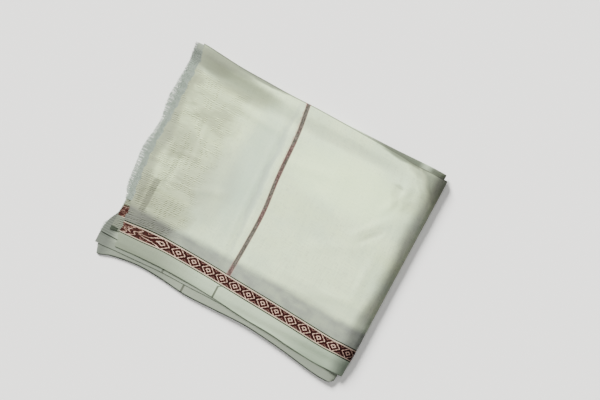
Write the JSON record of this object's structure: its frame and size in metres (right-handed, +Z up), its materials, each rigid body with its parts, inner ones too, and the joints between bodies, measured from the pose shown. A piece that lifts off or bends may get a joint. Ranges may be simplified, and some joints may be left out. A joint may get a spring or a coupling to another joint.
{
  "type": "folded cotton shawl",
  "caption": "Cotton handloom shawl folded into a flat oblong bundle that rests on a surface, with a frayed end, a woven border along its selvedge and a cross stripe.",
  "frame": {"origin": "middle of the bundle's footprint, on the surface that it rests on", "axes": "+X along the selvedges, from the cut ends to the roll; +Y from the selvedges to the lengthwise fold; +Z up"},
  "size_m": [0.5744, 0.4798, 0.025],
  "materials": {
    "cloth": "matt off-white cotton",
    "lower_cloth": "matt off-white cotton",
    "yarn": "matt off-white cotton yarn"
  },
  "bodies": {
    "root": {"end_panel": "cloth", "inner_panel": "cloth", "lower_plies": "lower_cloth", "end_fringe": "yarn", "inner_fringe": "yarn"}
  },
  "joints": []
}
